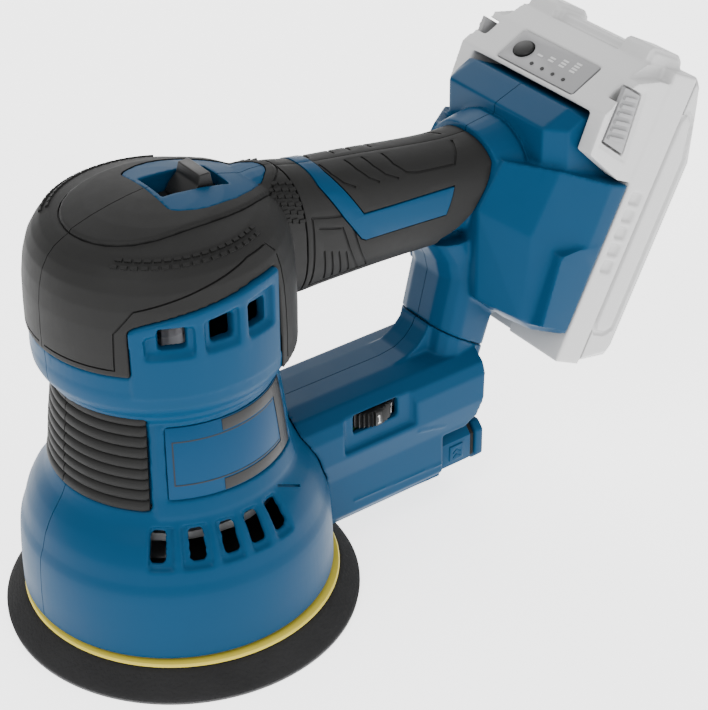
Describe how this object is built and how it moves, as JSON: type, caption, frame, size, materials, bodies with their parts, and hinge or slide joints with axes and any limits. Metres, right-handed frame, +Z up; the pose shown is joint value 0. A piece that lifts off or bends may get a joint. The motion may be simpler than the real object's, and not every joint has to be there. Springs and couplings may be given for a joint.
{
  "type": "dual action polisher",
  "caption": "Cordless dual action machine: round foam pad on an offset spindle, looped handle, slide switch, speed dial, dust outlet and a slide-on battery pack.",
  "frame": {"origin": "middle of the pad's working face, on the spindle axis", "axes": "+Z up the spindle, +X back along the handle to the battery pack, -Y the operator's left side, which has the speed dial"},
  "size_m": [0.263, 0.125, 0.1685],
  "materials": {
    "blue_housing": "satin, fine grain",
    "black_grip": "soft moulded grip, fine grain",
    "black_plastic": "satin",
    "black_rubber": "matte",
    "side_plate": "satin foil",
    "foam": "open-pored firm foam",
    "hook_face": "short hook pile",
    "yellow_plate": "satin",
    "steel": "turned",
    "cast_metal": "die cast",
    "board": "lacquered",
    "brass": "tinned edge",
    "pale_case": "satin",
    "grey_plastic": "satin",
    "cell_can": "shrink sleeve over a metal can"
  },
  "bodies": {
    "housing": {"housing_left": "blue_housing", "housing_right": "blue_housing", "head_cover_left": "black_grip", "head_cover_right": "black_grip", "top_bezel_left": "blue_housing", "top_bezel_right": "blue_housing", "handle_grip_left": "black_grip", "handle_grip_right": "black_grip", "handle_inlay_left": "blue_housing", "handle_inlay_right": "blue_housing", "front_grip_left": "black_grip", "front_grip_right": "black_grip", "label_plate": "side_plate", "rating_plate": "side_plate", "arm_left": "blue_housing", "arm_right": "blue_housing", "outlet_box": "blue_housing", "outlet_gasket": "black_rubber", "outlet_flange": "blue_housing", "motor_can": "steel", "upper_bearing": "steel", "bearing_plate": "cast_metal", "lower_bearing": "steel", "brake_ring": "black_rubber", "switch_body": "black_plastic", "dial_board": "board", "control_board": "board", "heat_sink": "cast_metal", "terminal_rail": "black_plastic", "terminal_blade_plus": "brass", "terminal_blade_minus": "brass"},
    "rotor": {"armature": "steel", "eccentric_carrier": "cast_metal", "pad_bearing": "steel", "fan": "black_plastic", "counterweight": "steel"},
    "pad": {"hook_disc": "hook_face", "foam_pad": "foam", "backing_plate": "yellow_plate", "pad_hub": "steel", "pad_screw_1": "steel", "pad_screw_2": "steel", "pad_screw_3": "steel", "pad_screw_4": "steel"},
    "switch": {"switch_knob": "black_plastic", "switch_slide": "black_plastic"},
    "dial": {"speed_dial": "black_plastic"},
    "battery": {"battery_case_front": "pale_case", "battery_case_rear": "pale_case", "gauge_panel": "grey_plastic", "pack_board": "board", "cell_1": "cell_can", "cell_2": "cell_can", "cell_3": "cell_can", "cell_4": "cell_can", "cell_5": "cell_can"},
    "release_left": {"release_button_left": "grey_plastic"},
    "release_right": {"release_button_right": "grey_plastic"},
    "gauge": {"gauge_button": "grey_plastic"}
  },
  "joints": [
    {"name": "spindle_spin", "type": "hinge", "parent": "housing", "child": "rotor", "pos_m": [0, 0, 0], "axis": [0, 0, 1], "continuous": true},
    {"name": "pad_spin", "type": "hinge", "parent": "rotor", "child": "pad", "pos_m": [0.00125, 0, 0], "axis": [0, 0, 1], "continuous": true},
    {"name": "switch_slide_on", "type": "slide", "parent": "housing", "child": "switch", "axis": [-1, 0, 0], "range_m": [0, 0.0065]},
    {"name": "speed_dial_turn", "type": "hinge", "parent": "housing", "child": "dial", "pos_m": [0.072, -0.011, 0.0516], "axis": [0, 0, 1], "range_deg": [0, 270]},
    {"name": "battery_slide_off", "type": "slide", "parent": "housing", "child": "battery", "axis": [0.4462, 0, 0.8949], "range_m": [0, 0.08]},
    {"name": "battery_release_left", "type": "slide", "parent": "battery", "child": "release_left", "axis": [0, 1, 0], "range_m": [0, 0.0025], "stiffness_N_per_m": 800},
    {"name": "battery_release_right", "type": "slide", "parent": "battery", "child": "release_right", "axis": [0, -1, 0], "range_m": [0, 0.0025], "stiffness_N_per_m": 800},
    {"name": "gauge_button_press", "type": "slide", "parent": "battery", "child": "gauge", "axis": [0.4353, 0, -0.9003], "range_m": [0, 0.0008], "stiffness_N_per_m": 800}
  ]
}
